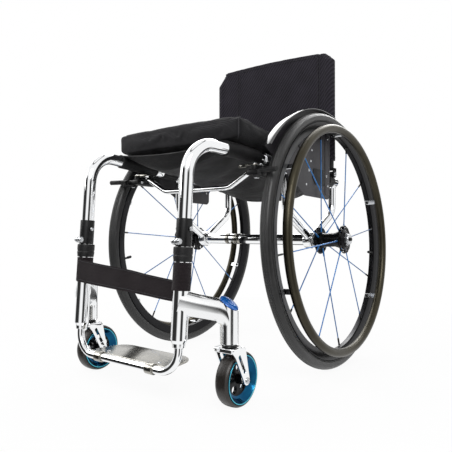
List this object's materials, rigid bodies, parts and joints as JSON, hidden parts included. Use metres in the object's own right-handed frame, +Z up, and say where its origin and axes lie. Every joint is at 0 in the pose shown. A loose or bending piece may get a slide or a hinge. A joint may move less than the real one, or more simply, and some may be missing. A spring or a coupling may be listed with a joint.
{
  "type": "rigid wheelchair",
  "caption": "Rigid-frame manual wheelchair with cambered spoked drive wheels, push rims, swivelling castors, sling seat and cushion, low fold-down back, side guards, brakes and a footplate.",
  "frame": {"origin": "on the floor, under the middle of the whole chair", "axes": "+Z up, the chair faces -Y, +X is the occupant's left"},
  "size_m": [0.5412, 0.7458, 0.779],
  "materials": {
    "chrome": "polished chrome plate over steel tube",
    "brushed": "fine brushed",
    "black_metal": "satin black",
    "black_plastic": "moulded, fine grain",
    "tyre": "matte rubber with a fine tread",
    "bronze": "dark bronze anodised, satin",
    "blue_spoke": "blue coated, satin",
    "blue_cap": "royal blue, glossy",
    "blue_hub": "blue-green anodised",
    "fabric": "black knit and plain weave",
    "guard": "dark grey composite sheet, satin"
  },
  "bodies": {
    "frame": {"side_frame_left": "chrome", "side_frame_right": "chrome", "rail_plug_left": "black_plastic", "rail_plug_right": "black_plastic", "leg_sleeve_left": "black_metal", "leg_sleeve_right": "black_metal", "leg_collar_left": "black_plastic", "leg_collar_right": "black_plastic", "lower_leg_left": "chrome", "lower_leg_right": "chrome", "castor_cap_left": "blue_cap", "castor_cap_right": "blue_cap", "castor_bearing_left": "black_metal", "castor_bearing_right": "black_metal", "brake_body_left": "black_metal", "brake_body_right": "black_metal", "side_guard_left": "guard", "side_guard_right": "guard", "back_bracket_left": "black_metal", "back_bracket_right": "black_metal", "axle_left": "brushed", "axle_right": "brushed", "camber_tube": "chrome", "brake_bow": "chrome", "seat_sling": "fabric", "seat_cushion": "fabric", "calf_strap": "fabric"},
    "footrest": {"footrest_tube": "chrome", "footplate": "brushed"},
    "back": {"back_post_left": "black_metal", "back_post_right": "black_metal", "back_bar": "black_metal", "back_upholstery": "fabric"},
    "rear_wheel_left": {"rear_tyre_left": "tyre", "rear_rim_left": "black_metal", "handrim_left": "bronze", "spokes_left": "blue_spoke", "hub_left": "black_metal", "hub_bearing_left": "brushed"},
    "axle_button_left": {"axle_button_left": "black_metal"},
    "castor_fork_left": {"castor_fork_left": "chrome", "castor_axle_left": "brushed"},
    "castor_wheel_left": {"castor_tyre_left": "tyre", "castor_hub_left": "blue_hub"},
    "brake_lever_left": {"brake_lever_left": "brushed"},
    "brake_shoe_left": {"brake_shoe_left": "black_plastic"},
    "rear_wheel_right": {"rear_tyre_right": "tyre", "rear_rim_right": "black_metal", "handrim_right": "bronze", "spokes_right": "blue_spoke", "hub_right": "black_metal", "hub_bearing_right": "brushed"},
    "axle_button_right": {"axle_button_right": "black_metal"},
    "castor_fork_right": {"castor_fork_right": "chrome", "castor_axle_right": "brushed"},
    "castor_wheel_right": {"castor_tyre_right": "tyre", "castor_hub_right": "blue_hub"},
    "brake_lever_right": {"brake_lever_right": "brushed"},
    "brake_shoe_right": {"brake_shoe_right": "black_plastic"}
  },
  "joints": [
    {"name": "back_fold", "type": "hinge", "parent": "frame", "child": "back", "pos_m": [0, 0.17285, 0.46], "axis": [1, 0, 0], "range_deg": [0, 30]},
    {"name": "footrest_height", "type": "slide", "parent": "frame", "child": "footrest", "axis": [0, 0.0695, 0.9976], "range_m": [-0.03, 0]},
    {"name": "rear_wheel_left_spin", "type": "hinge", "parent": "frame", "child": "rear_wheel_left", "pos_m": [0.2195, 0.07785, 0.29474], "axis": [0.9991, 0, 0.0419], "continuous": true},
    {"name": "axle_button_left_press", "type": "slide", "parent": "frame", "child": "axle_button_left", "axis": [-0.9991, 0, -0.0419], "range_m": [0, 0.004], "stiffness_N_per_m": 800, "springref_m": -0.003},
    {"name": "castor_left_swivel", "type": "hinge", "parent": "frame", "child": "castor_fork_left", "pos_m": [0.197, -0.29215, 0.1115], "axis": [0, 0, 1], "continuous": true},
    {"name": "castor_left_spin", "type": "hinge", "parent": "castor_fork_left", "child": "castor_wheel_left", "pos_m": [0.197, -0.26915, 0.05], "axis": [1, 0, 0], "continuous": true},
    {"name": "brake_lever_left_turn", "type": "hinge", "parent": "frame", "child": "brake_lever_left", "pos_m": [0.17, -0.17215, 0.4475], "axis": [0, 0, 1], "range_deg": [0, 60]},
    {"name": "brake_shoe_left_turn", "type": "hinge", "parent": "frame", "child": "brake_shoe_left", "pos_m": [0.18, -0.17915, 0.4272], "axis": [0, 0, 1], "range_deg": [0, 8]},
    {"name": "rear_wheel_right_spin", "type": "hinge", "parent": "frame", "child": "rear_wheel_right", "pos_m": [-0.2195, 0.07785, 0.29474], "axis": [-0.9991, 0, 0.0419], "continuous": true},
    {"name": "axle_button_right_press", "type": "slide", "parent": "frame", "child": "axle_button_right", "axis": [0.9991, 0, -0.0419], "range_m": [0, 0.004], "stiffness_N_per_m": 800, "springref_m": -0.003},
    {"name": "castor_right_swivel", "type": "hinge", "parent": "frame", "child": "castor_fork_right", "pos_m": [-0.197, -0.29215, 0.1115], "axis": [0, 0, 1], "continuous": true},
    {"name": "castor_right_spin", "type": "hinge", "parent": "castor_fork_right", "child": "castor_wheel_right", "pos_m": [-0.197, -0.26915, 0.05], "axis": [1, 0, 0], "continuous": true},
    {"name": "brake_lever_right_turn", "type": "hinge", "parent": "frame", "child": "brake_lever_right", "pos_m": [-0.17, -0.17215, 0.4475], "axis": [0, 0, -1], "range_deg": [0, 60]},
    {"name": "brake_shoe_right_turn", "type": "hinge", "parent": "frame", "child": "brake_shoe_right", "pos_m": [-0.18, -0.17915, 0.4272], "axis": [0, 0, -1], "range_deg": [0, 8]}
  ],
  "couplings": [
    {"joint": "brake_shoe_left_turn", "follows": "brake_lever_left_turn", "ratio": 0.125},
    {"joint": "brake_shoe_right_turn", "follows": "brake_lever_right_turn", "ratio": 0.125}
  ]
}
